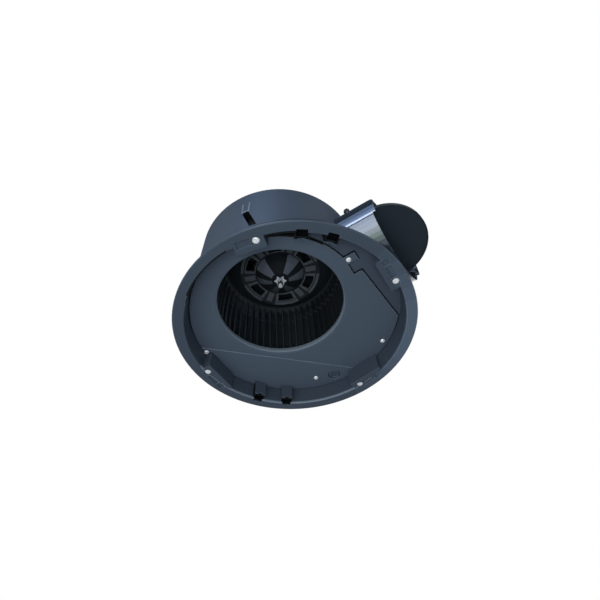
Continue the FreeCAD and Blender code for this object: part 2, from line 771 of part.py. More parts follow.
def motor_shaft():
    tip = turned([(0, shaft_low), (shaft_r - 1.0, shaft_low), (shaft_r, shaft_low + 1.0),
                  (shaft_r, shaft_top), (0, shaft_top)], axis_x, axis_y)
    return tip


def rotor():
    end = 3.0
    profile = [(shaft_r, stator_low - end), (rotor_r - 2, stator_low - end), (rotor_r - 2, stator_low),
               (rotor_r, stator_low), (rotor_r, stator_top), (rotor_r - 2, stator_top),
               (rotor_r - 2, stator_top + 1.5), (shaft_r, stator_top + 1.5)]
    return turned(profile, axis_x, axis_y)


def stator_core():
    """Laminated ring with slots that open to the rotor."""
    bore = rotor_r + air_gap
    core = ring(stator_r, bore, stator_low, stator_top)
    cuts = []
    for number in range(slot_count):
        slot = ring(stator_r - 6, bore + 2.5, stator_low - 1, stator_top + 1)
        slot = slot.common(block(0, 50, -2.6, 2.6, stator_low - 1, stator_top + 1))
        mouth = block(bore - 1, bore + 4, -0.9, 0.9, stator_low - 1, stator_top + 1)
        cuts.append(spun(slot.fuse(mouth), number * 360 / slot_count))
    core = core.cut(Part.makeCompound(cuts)).removeSplitter()
    core.translate(Vector(axis_x, axis_y, 0))
    return core


def windings():
    """The coil heads at both ends of the stator, each end lashed into one ring."""
    inner = rotor_r + air_gap + 2.5
    made = []
    outer = stator_r - 6
    for low, high in ((stator_low - 4, stator_low), (stator_top, stator_top + 3)):
        profile = [(inner + 1, low), (outer - 1, low), (outer, low + 1), (outer, high), (inner, high),
                   (inner, low + 1)]
        made.append(turned(profile, axis_x, axis_y))
    return made


def motor_front_bracket():
    """Pressed end bracket on the room side, with the front bearing's housing."""
    seat = stator_low
    edge = stator_r - 4
    low = front_bearing_low - 0.5
    dish = turned([(bearing_r, low), (bearing_r + 2, low), (bearing_r + 2, seat - 7.5),
                   (edge - 2.5, seat - 6.4), (edge, seat - 2.8), (stator_r, seat - 2.8), (stator_r, seat),
                   (edge, seat), (edge - 1, seat - 2.0), (edge - 2, seat - 4.8),
                   (bearing_r, seat - 5.8)], axis_x, axis_y)
    vents = [spun(block(bearing_r + 8, edge - 8, -3, 3, low, seat), n * 60) for n in range(6)]
    for vent in vents:
        vent.translate(Vector(axis_x, axis_y, 0))
    return dish.cut(Part.makeCompound(vents)).removeSplitter()


def motor_rear_bracket():
    """End bracket on the drum's back, with three ears and the rear bearing's housing."""
    seat = stator_top
    edge = stator_r - 4.8
    end = rear_bearing_low + bearing_len + 0.1
    dish = turned([(bearing_r, seat + 4.0), (edge, seat + 3.4), (edge, seat), (stator_r, seat),
                   (stator_r, seat + 2.2), (stator_r - 2, seat + 5.2), (bearing_r + 2, seat + 5.2),
                   (bearing_r + 2, end + 1.2), (0, end + 1.2), (0, end), (bearing_r, end)], axis_x, axis_y)
    ears = []
    for x, y in motor_bolts():
        dx, dy = x - axis_x, y - axis_y
        ear = cylinder(6.0, ear_low, back_in - grommet_h, x, y)
        arm = block(stator_r - 4, motor_bolt_r, -6, 6, ear_low, back_in - grommet_h)
        arm = spun(arm, math.degrees(math.atan2(dy, dx)))
        arm.translate(Vector(axis_x, axis_y, 0))
        ears += [ear, arm]
    bracket = dish.multiFuse(ears)
    holes = [cylinder(motor_screw_r + screw_gap, ear_low - 1, drum_top, x, y) for x, y in motor_bolts()]
    return bracket.cut(Part.makeCompound(holes)).removeSplitter()


def bearing(low):
    high = low + bearing_len
    profile = [(shaft_r + run_gap, low), (bearing_r - 1, low), (bearing_r, low + 1), (bearing_r, high - 1),
               (bearing_r - 1, high), (shaft_r + run_gap, high)]
    return turned(profile, axis_x, axis_y)


def motor_grommets():
    hole = motor_screw_r + screw_gap
    return [ring(6.0, hole, back_in - grommet_h, back_in, x, y) for x, y in motor_bolts()]


def motor_screws():
    made = []
    for x, y in motor_bolts():
        head = cylinder(motor_head_r, drum_top, drum_top + motor_head_h, x, y)
        made.append(head.fuse(cylinder(motor_screw_r, ear_low - 4, drum_top + 0.1, x, y)))
    return made


def motor_nuts():
    made = []
    for x, y in motor_bolts():
        corners = [(x + p[0], y + p[1]) for p in (polar(4.0, n * 60) for n in range(6))]
        nut = prism(corners, ear_low - 3.0, ear_low)
        made.append(nut.cut(cylinder(motor_screw_r, ear_low - 5, drum_top, x, y)))
    return made


def clamp_screw(angle, top):
    x, y = polar(clamp_r, angle)
    seat = clamp_head_h - flange_t
    return screw(x, y, clamp_head_r, clamp_head_h - 0.1, clamp_screw_r, seat, top)


def clamp_arm(angle, park):
    """A flat arm on a threaded boss, parked along the pan wall."""
    boss = cylinder(arm_boss_r, park, park + arm_boss_h, clamp_r, 0)
    bar = block(clamp_r - arm_width / 2, clamp_r + arm_width / 2 - 1.5, -arm_len, 0, park, park + arm_t)
    rib = block(clamp_r - 1, clamp_r + 1, -arm_len + 5, -1, park + arm_t - 0.1, park + arm_boss_h - 1.5)
    arm = boss.multiFuse([bar, rib])
    bore = cylinder(clamp_screw_r + run_gap, park - 1, park + arm_boss_h + 1, clamp_r, 0)
    tucked = spun(arm.cut(bore).removeSplitter(), -arm_tuck, clamp_r, 0)
    return spun(tucked, angle)


def clamp_retainer(angle, low):
    x, y = polar(clamp_r, angle)
    return ring(retainer_r, clamp_screw_r, low, low + retainer_t, x, y)


def terminal_box():
    """Cover box that stands on the pan floor outside the scroll, open at the bottom."""
    shell = block(box_in, box_in + box_depth, -box_half, box_half, floor_top, floor_top + box_h)
    shell = shell.makeFillet(3.0, [e for e in shell.Edges if abs(e.BoundBox.ZLength - box_h) < 0.1])
    hollow = block(box_in + box_wall, box_in + box_depth - box_wall, box_wall - box_half, box_half - box_wall,
                   floor_top - 1, floor_top + box_h - box_wall)
    entry = along_y(gland_r - 2.5, box_half - 6, box_half + 6, box_in + box_depth / 2, floor_top + box_h / 2)
    feet = []
    for side in (-1, 1):
        foot = cylinder(5.0, floor_top, floor_top + 2.5, box_in + 7, side * (box_half + 3))
        foot = foot.fuse(block(box_in + 2, box_in + 12, min(side * box_half, side * (box_half + 3)),
                               max(side * box_half, side * (box_half + 3)), floor_top, floor_top + 2.5))
        feet.append(foot.cut(cylinder(1.7, floor_top - 1, floor_top + 4, box_in + 7, side * (box_half + 4))))
    box = shell.cut(hollow).cut(entry).multiFuse(feet).cut(hollow)
    return spun(box.removeSplitter(), box_angle)


def box_screws():
    made = []
    for side in (-1, 1):
        x, y = box_in + 7, side * (box_half + 4)
        head = cylinder(2.8, floor_top + 2.5, floor_top + 4.3, x, y)
        made.append(spun(head.fuse(cylinder(1.5, pan_depth + 0.3, floor_top + 2.6, x, y)), box_angle))
    return made


def terminal_y(number):
    return block_low + (number + 0.2625) * block_pitch


def terminal_block():
    x0 = box_in + 5
    base = block(x0, x0 + 13, block_low, block_high, floor_top, floor_top + 11)
    cuts = []
    for number in range(3):
        y = terminal_y(number)
        cuts.append(cylinder(1.7, floor_top + 6, floor_top + 12, x0 + 8.5, y))
        cuts.append(Part.makeCylinder(1.5, 6, Vector(x0 - 1, y, floor_top + 4.5), Vector(1, 0, 0)))
    return spun(base.cut(Part.makeCompound(cuts)), box_angle)


def terminal_screws():
    made = []
    for number in range(3):
        y = terminal_y(number)
        made.append(spun(cylinder(1.6, floor_top + 6, floor_top + 10.2, box_in + 13.5, y), box_angle))
    return made


def capacitor():
    can = block(box_in + 4, box_in + 20, can_low, can_high, floor_top, floor_top + 13)
    long_edges = [e for e in can.Edges if abs(e.BoundBox.YLength - (can_high - can_low)) < 0.1]
    can = can.makeFillet(3.0, long_edges)
    return spun(can, box_angle)


def cable_gland():
    """Strain relief in the end wall of the terminal box."""
    x, z = box_in + box_depth / 2, floor_top + box_h / 2
    collar = along_y(gland_r, box_half, box_half + 3, x, z)
    nose = Part.makeCone(gland_r - 1, gland_r - 2.5, 8, Vector(x, box_half + 3, z), Vector(0, 1, 0))
    stem = along_y(gland_r - 2.5, box_half - 3.5, box_half + 0.1, x, z)
    bore = along_y(gland_bore_r, box_half - 10, box_half + 20, x, z)
    return spun(collar.multiFuse([nose, stem]).cut(bore).removeSplitter(), box_angle)


def floor_plug():
    """Blanking plug in the pan floor, over the cable entry beside the terminal box."""
    x, y = plug_at
    low = plate_low - 0.6
    return turned([(0, low + 1.2), (plug_r - 2.2, low + 1.2), (plug_r - 2.0, low), (plug_r - 0.6, low),
                   (plug_r, low + 0.6), (plug_r, pan_depth), (plug_r - 1.6, pan_depth),
                   (plug_r - 1.6, floor_top), (plug_r - 3.2, floor_top), (plug_r - 3.2, pan_depth),
                   (0, pan_depth)], x, y)


def save(name, shape):
    solids = shape if isinstance(shape, list) else [shape]
    flat = [solid for item in solids for solid in item.Solids]
    out = flat[0] if len(flat) == 1 else Part.makeCompound(flat)
    out.exportStep(os.path.join("parts", name + ".step"))
    print(name, "solids", len(flat), "volume", round(out.Volume), "valid", out.isValid())


def main():
    os.makedirs("parts", exist_ok=True)
    save("mounting_frame", mounting_frame())
    save("spring_brackets", [spring_bracket(a) for a in bracket_angles])
    save("inlet_plate", inlet_plate())
    save("plate_screws", plate_screws())
    save("plate_seal", plate_seal())
    save("scroll_housing", scroll_housing())
    save("outlet_duct", outlet_duct())
    save("duct_screws", duct_screws())
    save("shutter_rod", shutter_rod())
    save("lower_shutter", shutter(False))
    save("upper_shutter", shutter(True))
    save("impeller", impeller())
    save("impeller_clip", impeller_clip())
    save("motor_shaft", motor_shaft())
    save("rotor", rotor())
    save("stator_core", stator_core())
    save("windings", windings())
    save("motor_front_bracket", motor_front_bracket())
    save("motor_rear_bracket", motor_rear_bracket())
    save("front_bearing", bearing(front_bearing_low))
    save("rear_bearing", bearing(rear_bearing_low))
    save("motor_grommets", motor_grommets())
    save("motor_screws", motor_screws())
    save("motor_nuts", motor_nuts())
    save("terminal_box", terminal_box())
    save("box_screws", box_screws())
    save("terminal_block", terminal_block())
    save("terminal_screws", terminal_screws())
    save("capacitor", capacitor())
    save("cable_gland", cable_gland())
    save("floor_plug", floor_plug())
    for number, angle in enumerate(clamp_angles):
        park = clamp_park_low_z if number == low_clamp else clamp_park_z
        label = str(number + 1)
        save("clamp_screw_" + label, clamp_screw(angle, park + arm_boss_h + retainer_gap + retainer_t))
        save("clamp_arm_" + label, clamp_arm(angle, park))
        save("clamp_retainer_" + label, clamp_retainer(angle, park + arm_boss_h + retainer_gap))


main()
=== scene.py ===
import bpy
import bmesh
import math
from mathutils import Matrix, Vector

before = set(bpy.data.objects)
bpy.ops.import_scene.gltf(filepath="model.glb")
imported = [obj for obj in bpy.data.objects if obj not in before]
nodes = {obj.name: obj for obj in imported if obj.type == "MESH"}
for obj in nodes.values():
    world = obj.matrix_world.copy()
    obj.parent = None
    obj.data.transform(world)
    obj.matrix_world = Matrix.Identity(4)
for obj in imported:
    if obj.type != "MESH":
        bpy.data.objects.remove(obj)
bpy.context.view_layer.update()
print("frame loaded,", len(nodes), "nodes")

# lengths are in metres, angles in degrees; the wheel turns about an upright axis through fanCentre,
# the outlet's line runs along X at this Y and Z, and the pan is round about panCentre
fanCentre = (-0.005, -0.0295, 0.0)
panCentre = (0.0, 0.0, 0.0)
ductLine = (-0.0096, 0.0735)

cameraSetup = {
    "place": (0.1669, -0.3083, -0.3984),
    "right": (0.855, 0.515, -0.052),
    "up": (0.444, -0.668, 0.600),
    "lens": 24.0,
    "sensor": 36.0,
    "nearest": 0.01,
}
# mirrored says whether the polished collar shows the lamp
lampSetup = {
    "keyLamp": {"place": (-0.35, -1.1, -0.95), "target": (0.0, 0.0, 0.02), "size": 0.8, "watts": 7.0,
                "colour": (1.0, 0.99, 0.97), "mirrored": False},
    "fillLamp": {"place": (0.24, -0.54, -0.78), "target": (0.0, 0.0, 0.06), "size": 0.5, "watts": 4.6,
                 "colour": (0.98, 0.99, 1.0), "mirrored": False},
    "backLamp": {"place": (0.3, 0.9, 0.4), "target": (0.0, 0.0, 0.06), "size": 0.9, "watts": 3.0,
                 "colour": (1.0, 1.0, 1.0), "mirrored": True},
}
# long lamps round the duct, which only the polished collar shows: first and last angle, colour, radiance
stripSetup = {
    "away": 0.6,
    "middle": 0.11,
    "length": 0.24,
    "strips": [
        (124.0, 137.0, (0.42, 0.60, 1.0), 2.4),
        (137.0, 149.0, (0.36, 0.55, 1.0), 5.0),
        (149.0, 154.6, (0.58, 0.72, 1.0), 24.0),
        (158.8, 169.0, (0.60, 0.74, 1.0), 10.5),
        (169.0, 181.0, (0.68, 0.80, 1.0), 12.0),
        (181.0, 192.0, (0.70, 0.83, 1.0), 13.0),
        (192.0, 205.0, (0.75, 0.88, 0.98), 9.0),
        (205.0, 215.0, (0.72, 0.95, 0.86), 6.0),
        (215.0, 226.0, (0.75, 0.97, 0.95), 3.2),
        (226.0, 240.0, (0.8, 0.93, 1.0), 1.4),
    ],
}
# dark cards that only mirrored light sees, each with the way it faces
cardSetup = {
    "behind": {"middle": (-0.45, 0.88, 1.3), "facing": (0.274, -0.536, -0.8), "size": 3.6,
               "colour": (0.06, 0.085, 0.13)},
    "above": {"middle": (0.11, -0.30, 0.62), "facing": (0.0, 0.45, -0.9), "size": 0.55,
              "colour": (0.05, 0.07, 0.115)},
    "under": {"middle": (0.11, -0.12, -0.82), "facing": (0.0, 0.12, 0.99), "size": 0.66,
              "colour": (0.05, 0.07, 0.10)},
}
floorSetup = {"height": -2.4, "size": 16.0, "colour": (0.86, 0.86, 0.86), "roughness": 0.8}
# the camera sees white, and the light that reaches the fan is weaker and bluer
worldSetup = {"seen": (1.0, 1.0, 1.0), "light": (0.82, 0.90, 1.0), "strength": 0.45}

# painted shade: near black for the shade in gaps, hollows and recesses
paintedGapShade = (0.003, 0.004, 0.005)
slateColour = (0.040, 0.055, 0.076)
# painted highlight: a light line on the flange's inner rim
paintedRimHighlight = (0.130, 0.165, 0.205)


# part of a piece painted with its own tone of light or shade: between two heights and two radii round an
# upright axis, and with half given, only that many degrees to each side of angle
def zone(colour, centre, low=-1.0, high=1.0, inner=-1.0, outer=9.0, angle=0.0, half=None):
    share = -2.0 if half is None else math.cos(math.radians(half))
    return colour, {"Axis": centre, "Low": low, "High": high, "Inner": inner, "Outer": outer,
                    "Turn": math.radians(angle), "Share": share}


# painted light and shade on the wheel: the blades and the dome's petals lighter or darker by angle, given by
# angle, half width and colour
wheelSetup = {
    "bladeRange": {"low": 0.0350, "high": 0.1330, "inner": 0.0840},
    "blades": [
        (31, 28, (0.0120, 0.0155, 0.0185)),
        (73, 14, (0.0125, 0.0160, 0.0190)),
        (95, 8, (0.0190, 0.0245, 0.0290)),
        (350, 13, (0.0150, 0.0195, 0.0230)),
        (131, 28, (0.0260, 0.0340, 0.0400)),
        (171, 13, (0.0340, 0.0440, 0.0520)),
        (223, 40, (0.0450, 0.0580, 0.0690)),
    ],
    "petalRange": {"low": 0.080, "high": 0.1066, "inner": 0.0125, "outer": 0.0352},
    "petals": [
        (243, 19, (0.070, 0.083, 0.105)),
        (338, 17, (0.070, 0.083, 0.105)),
        (31, 15, (0.060, 0.072, 0.088)),
        (193, 12, (0.045, 0.056, 0.066)),
        (92, 14, (0.035, 0.044, 0.052)),
        (140, 12, (0.030, 0.038, 0.045)),
    ],
}
# painted light: the flange grows lighter in steps towards the picture's right
flangeSetup = {"steps": 5, "gain": 1.13, "angle": 33, "widest": 52, "narrower": 8}


def sectors(name):
    return [zone(colour, fanCentre, **wheelSetup[f"{name}Range"], angle=angle, half=half)
            for angle, half, colour in wheelSetup[f"{name}s"]]


# painted light: bands of the flange's lower face, each lighter by gain
def flangePaintedLight():
    bands = []
    for step in range(flangeSetup["steps"]):
        gain = flangeSetup["gain"] ** (step + 1)
        bands.append(zone(tuple(channel * gain for channel in slateColour), panCentre,
                          low=-0.0040, high=0.0004, inner=0.1450, angle=flangeSetup["angle"],
                          half=flangeSetup["widest"] - flangeSetup["narrower"] * step))
    return bands


# later zones lie over earlier ones
zoneSetup = {
    "wheel": [
        *sectors("blade"),
        # painted shade on the back disc, dome and hub ring, painted light on the dome's petals and on the
        # frames of the windows in the ring
        zone((0.016, 0.021, 0.025), fanCentre, low=0.1052, high=0.1330, inner=0.0590, outer=0.0860),
        zone((0.008, 0.010, 0.012), fanCentre, low=0.080, high=0.1066, outer=0.0362),
        *sectors("petal"),
        zone((0.014, 0.018, 0.021), fanCentre, low=0.1052, high=0.1066, inner=0.0362, outer=0.0595),
        zone((0.050, 0.060, 0.069), fanCentre, low=0.1030, high=0.1052, inner=0.0362),
    ],
    "plate": [
        # painted shade on the plate's sides and on its edge beside the tab, and a painted highlight on the
        # rim of the inlet
        zone(paintedGapShade, fanCentre, low=0.0254, high=0.0290, inner=0.0905),
        zone(paintedGapShade, fanCentre, high=0.0290, inner=0.1042, angle=-58, half=13),
        zone(paintedGapShade, fanCentre, high=0.0290, inner=0.1054, angle=-48, half=19),
        zone((0.130, 0.165, 0.200), fanCentre, low=0.0262, high=0.0330, outer=0.0860),
    ],
    "floor": [
        # painted shade on the floor behind the gaps round the plate
        zone(paintedGapShade, panCentre, low=0.0271, high=0.0290),
        zone(paintedGapShade, fanCentre, low=0.0260, high=0.0290, inner=0.1042, outer=0.1300, angle=-59, half=12),
        # the flange's lower face painted lighter in steps, its inner edge with a painted highlight line at
        # the picture's bottom and a painted shade line for the gap at its top
        *flangePaintedLight(),
        zone(paintedRimHighlight, panCentre, low=-0.0040, high=0.0010, inner=0.1448, outer=0.1460, angle=130, half=58),
        zone(paintedGapShade, panCentre, low=-0.0060, high=-0.0003, inner=0.1445, outer=0.1480, angle=-65, half=8),
        zone(paintedGapShade, panCentre, low=-0.0060, high=-0.0003, inner=0.1445, outer=0.1484, angle=-107, half=16),
    ],
    # painted shade: the bracket hollows and the bracket sides are near black
    "bracket": [zone(paintedGapShade, panCentre, inner=0.1362, outer=0.1497)],
    "drum": [
        # painted shade on the inside of the back plate and on the wall behind the slot, and a painted
        # highlight on the two ribs above the slot
        zone((0.010, 0.013, 0.017), fanCentre, low=0.1340, high=0.1358, outer=0.0900),
        zone(paintedGapShade, fanCentre, low=0.0310, high=0.0900, inner=0.1000, outer=0.1177, angle=-79, half=14),
        zone((0.150, 0.185, 0.230), fanCentre, low=0.0780, high=0.1340, inner=0.1183, outer=0.1196,
             angle=-79, half=8),
    ],
}
grainSetup = {
    "drift": {"Scale": 9.0, "Detail": 4.0, "Roughness": 0.6},
    "fine": {"Detail": 2.0, "Roughness": 0.5},
    "roundSamples": 6,
    # painted highlight on rounded edges, by how far the rounded normal turns from the plain one
    "paintedEdgeHighlight": {"From Min": 0.995, "From Max": 0.85},
    "roughSwing": 0.12,
    "bumpDistance": 0.00006,
}
brushSetup = {
    "lines": {"Scale": 1.0, "Detail": 3.0, "Roughness": 0.6},
    "tarnish": {"Scale": 45.0, "Detail": 3.0, "Roughness": 0.55},
    "tone": {"To Min": 0.86, "To Max": 1.08},
    "roughSwing": 0.16,
    "bumpDistance": 0.00004,
}
print("settings ready")


def addNode(tree, kind, **values):
    node = tree.nodes.new(kind)
    for key, value in values.items():
        setattr(node, key, value)
    return node


def setInputs(node, **values):
    for key, value in values.items():
        node.inputs[key].default_value = value
    return node


# a math node whose operands are sockets or numbers
def compute(tree, operation, *operands, kind="ShaderNodeMath"):
    node = addNode(tree, kind, operation=operation)
    for socket, operand in zip(node.inputs, operands):
        if isinstance(operand, bpy.types.NodeSocket):
            tree.links.new(operand, socket)
        else:
            socket.default_value = operand
    return node


def scaleColour(tree, colour, factor):
    node = compute(tree, "SCALE", colour, kind="ShaderNodeVectorMath")
    tree.links.new(factor, node.inputs["Scale"])
    return node.outputs[0]


def newGroup(name, inputs, outputs):
    group = bpy.data.node_groups.new(name, "ShaderNodeTree")
    for label, kind, value in inputs:
        socket = group.interface.new_socket(name=label, in_out="INPUT", socket_type=kind)
        socket.default_value = value
    for label, kind in outputs:
        group.interface.new_socket(name=label, in_out="OUTPUT", socket_type=kind)
    return group, group.nodes.new("NodeGroupInput"), group.nodes.new("NodeGroupOutput")


# moulded plastic: fine spark grain, a slow drift of tone, and rounded edges with a painted highlight that
# lightens them
def buildMouldedGrain():
    group, source, result = newGroup(
        "mouldedGrain",
        [("Base", "NodeSocketColor", (0.2, 0.2, 0.2, 1)), ("Drift", "NodeSocketFloat", 0.06),
         ("Grain", "NodeSocketFloat", 0.25), ("Scale", "NodeSocketFloat", 1400.0),
         ("Roughness", "NodeSocketFloat", 0.55), ("Edge", "NodeSocketFloat", 0.6),
         ("Radius", "NodeSocketFloat", 0.0007)],
        [("Color", "NodeSocketColor"), ("Roughness", "NodeSocketFloat"), ("Normal", "NodeSocketVector")])
    links = group.links
    coords = addNode(group, "ShaderNodeTexCoord")
    slow = setInputs(addNode(group, "ShaderNodeTexNoise"), **grainSetup["drift"])
    fine = setInputs(addNode(group, "ShaderNodeTexNoise"), **grainSetup["fine"])
    links.new(coords.outputs["Object"], slow.inputs["Vector"])
    links.new(coords.outputs["Object"], fine.inputs["Vector"])
    links.new(source.outputs["Scale"], fine.inputs["Scale"])
    centred = compute(group, "SUBTRACT", slow.outputs["Fac"], 0.5)
    drifted = compute(group, "MULTIPLY_ADD", centred.outputs[0], source.outputs["Drift"], 1.0)
    rounded = addNode(group, "ShaderNodeBevel", samples=grainSetup["roundSamples"])
    links.new(source.outputs["Radius"], rounded.inputs["Radius"])
    plain = addNode(group, "ShaderNodeNewGeometry")
    facing = compute(group, "DOT_PRODUCT", rounded.outputs["Normal"], plain.outputs["Normal"],
                     kind="ShaderNodeVectorMath")
    # painted highlight: the base colour is lightened by Edge where the rounded normal turns from the plain
    # one
    paintedEdgeHighlight = setInputs(addNode(group, "ShaderNodeMapRange"), **grainSetup["paintedEdgeHighlight"])
    links.new(facing.outputs["Value"], paintedEdgeHighlight.inputs["Value"])
    edged = compute(group, "MULTIPLY_ADD", paintedEdgeHighlight.outputs["Result"], source.outputs["Edge"],
                    drifted.outputs[0])
    links.new(scaleColour(group, source.outputs["Base"], edged.outputs[0]), result.inputs["Color"])
    rough = compute(group, "MULTIPLY_ADD", centred.outputs[0], grainSetup["roughSwing"],
                    source.outputs["Roughness"])
    links.new(rough.outputs[0], result.inputs["Roughness"])
    bump = setInputs(addNode(group, "ShaderNodeBump"), Distance=grainSetup["bumpDistance"])
    links.new(source.outputs["Grain"], bump.inputs["Strength"])
    links.new(fine.outputs["Fac"], bump.inputs["Height"])
    links.new(rounded.outputs["Normal"], bump.inputs["Normal"])
    links.new(bump.outputs["Normal"], result.inputs["Normal"])
    return group


# turned or brushed metal: fine lines and a slight tarnish
def buildBrushedLines():
    group, source, result = newGroup(
        "brushedLines",
        [("Base", "NodeSocketColor", (0.7, 0.7, 0.7, 1)),
         ("Stretch", "NodeSocketVector", (60.0, 60.0, 2500.0)),
         ("Depth", "NodeSocketFloat", 0.15), ("Roughness", "NodeSocketFloat", 0.3)],
        [("Color", "NodeSocketColor"), ("Roughness", "NodeSocketFloat"), ("Normal", "NodeSocketVector")])
    links = group.links
    coords = addNode(group, "ShaderNodeTexCoord")
    stretched = compute(group, "MULTIPLY", coords.outputs["Object"], source.outputs["Stretch"],
                        kind="ShaderNodeVectorMath")
    lines = setInputs(addNode(group, "ShaderNodeTexNoise"), **brushSetup["lines"])
    links.new(stretched.outputs[0], lines.inputs["Vector"])
    tarnish = setInputs(addNode(group, "ShaderNodeTexNoise"), **brushSetup["tarnish"])
    links.new(coords.outputs["Object"], tarnish.inputs["Vector"])
    tone = setInputs(addNode(group, "ShaderNodeMapRange"), **brushSetup["tone"])
    links.new(tarnish.outputs["Fac"], tone.inputs["Value"])
    links.new(scaleColour(group, source.outputs["Base"], tone.outputs["Result"]), result.inputs["Color"])
    rough = compute(group, "MULTIPLY_ADD", lines.outputs["Fac"], brushSetup["roughSwing"],
                    source.outputs["Roughness"])
    links.new(rough.outputs[0], result.inputs["Roughness"])
    bump = setInputs(addNode(group, "ShaderNodeBump"), Distance=brushSetup["bumpDistance"])
    links.new(source.outputs["Depth"], bump.inputs["Strength"])
    links.new(lines.outputs["Fac"], bump.inputs["Height"])
    links.new(bump.outputs["Normal"], result.inputs["Normal"])
    return group


# the mask of one zone: Share is the cosine of its half angle, and Turn its middle
def buildRoundZone():
    group, source, result = newGroup(
        "roundZone",
        [("Axis", "NodeSocketVector", (0.0, 0.0, 0.0)), ("Low", "NodeSocketFloat", -1.0),
         ("High", "NodeSocketFloat", 1.0), ("Inner", "NodeSocketFloat", -1.0),
         ("Outer", "NodeSocketFloat", 9.0), ("Turn", "NodeSocketFloat", 0.0),
         ("Share", "NodeSocketFloat", -2.0)],
        [("Mask", "NodeSocketFloat")])
    limits = source.outputs
    coords = addNode(group, "ShaderNodeTexCoord")
    moved = compute(group, "SUBTRACT", coords.outputs["Object"], limits["Axis"], kind="ShaderNodeVectorMath")
    parts = addNode(group, "ShaderNodeSeparateXYZ")
    group.links.new(moved.outputs[0], parts.inputs[0])
    height = parts.outputs["Z"]
    flat = compute(group, "MULTIPLY", moved.outputs[0], (1.0, 1.0, 0.0), kind="ShaderNodeVectorMath")
    radius = compute(group, "LENGTH", flat.outputs[0], kind="ShaderNodeVectorMath").outputs["Value"]
    angle = compute(group, "ARCTAN2", parts.outputs["Y"], parts.outputs["X"])
    turned = compute(group, "SUBTRACT", angle.outputs[0], limits["Turn"])
    wave = compute(group, "COSINE", turned.outputs[0]).outputs[0]
    every = 1.0
    for operation, measure, limit in [
            ("GREATER_THAN", height, limits["Low"]), ("LESS_THAN", height, limits["High"]),
            ("GREATER_THAN", radius, limits["Inner"]), ("LESS_THAN", radius, limits["Outer"]),
            ("GREATER_THAN", wave, limits["Share"])]:
        test = compute(group, operation, measure, limit)
        every = compute(group, "MULTIPLY", every, test.outputs[0]).outputs[0]
    group.links.new(every, result.inputs["Mask"])
    return group


mouldedGrain = buildMouldedGrain()
roundZone = buildRoundZone()
brushedLines = buildBrushedLines()


def groupMaterial(name, group, values, shader):
    material = bpy.data.materials.new(name)
    material.use_nodes = True
    tree = material.node_tree
    principled = tree.nodes["Principled BSDF"]
    effect = setInputs(addNode(tree, "ShaderNodeGroup", node_tree=group), **values)
    setInputs(principled, **shader)
    tree.links.new(effect.outputs["Color"], principled.inputs["Base Color"])
    tree.links.new(effect.outputs["Roughness"], principled.inputs["Roughness"])
    tree.links.new(effect.outputs["Normal"], principled.inputs["Normal"])
    return material, effect


def plastic(name, colour, rough=0.5, grain=0.3, drift=0.08, level=0.5, edge=0.6, radius=0.0007, zones=()):
    values = {"Base": (*colour, 1), "Roughness": rough, "Grain": grain, "Drift": drift, "Edge": edge,
              "Radius": radius}
    material, effect = groupMaterial(name, mouldedGrain, values, {"Specular IOR Level": level})
    tree = material.node_tree
    before = None
    for zoneColour, limits in zones:
        mask = setInputs(addNode(tree, "ShaderNodeGroup", node_tree=roundZone), **limits)
        mixed = setInputs(addNode(tree, "ShaderNodeMix", data_type="RGBA"),
                          A=(*colour, 1), B=(*zoneColour, 1))
        if before:
            tree.links.new(before.outputs["Result"], mixed.inputs["A"])
        tree.links.new(mask.outputs["Mask"], mixed.inputs["Factor"])
        before = mixed
    if before:
        tree.links.new(before.outputs["Result"], effect.inputs["Base"])
    return material


def metal(name, colour, rough=0.3, depth=0.15, stretch=(60.0, 60.0, 2500.0), metallic=1.0):
    values = {"Base": (*colour, 1), "Roughness": rough, "Depth": depth, "Stretch": stretch}
    return groupMaterial(name, brushedLines, values, {"Metallic": metallic})[0]


plasticSetup = {
    "slateMoulding": {"colour": slateColour, "grain": 0.35, "level": 0.16, "edge": 1.0, "radius": 0.001,
                      "zones": zoneSetup["floor"]},
    "drumMoulding": {"colour": (0.052, 0.073, 0.104), "grain": 0.35, "level": 0.1, "edge": 0.9,
                     "radius": 0.001, "zones": zoneSetup["drum"]},
    "plateMoulding": {"colour": (0.055, 0.074, 0.102), "grain": 0.35, "level": 0.16, "edge": 1.5,
                      "radius": 0.0012, "zones": zoneSetup["plate"]},
    "bracketMoulding": {"colour": slateColour, "level": 0.16, "zones": zoneSetup["bracket"]},
    "polishedCollar": {"colour": (0.020, 0.028, 0.040), "rough": 0.075, "grain": 0.02, "level": 0.42},
    "shutterMoulding": {"colour": (0.011, 0.018, 0.025), "rough": 0.42, "level": 0.25},
    "wheelMoulding": {"colour": (0.030, 0.039, 0.046), "grain": 0.25, "level": 0.05, "edge": 0.8,
                      "zones": zoneSetup["wheel"]},
    "blackMoulding": {"colour": (0.01, 0.01, 0.012), "rough": 0.42},
    "ivoryMoulding": {"colour": (0.62, 0.58, 0.47), "rough": 0.42, "grain": 0.2},
    "softRubber": {"colour": (0.012, 0.012, 0.012), "rough": 0.7, "grain": 0.4, "level": 0.3},
}
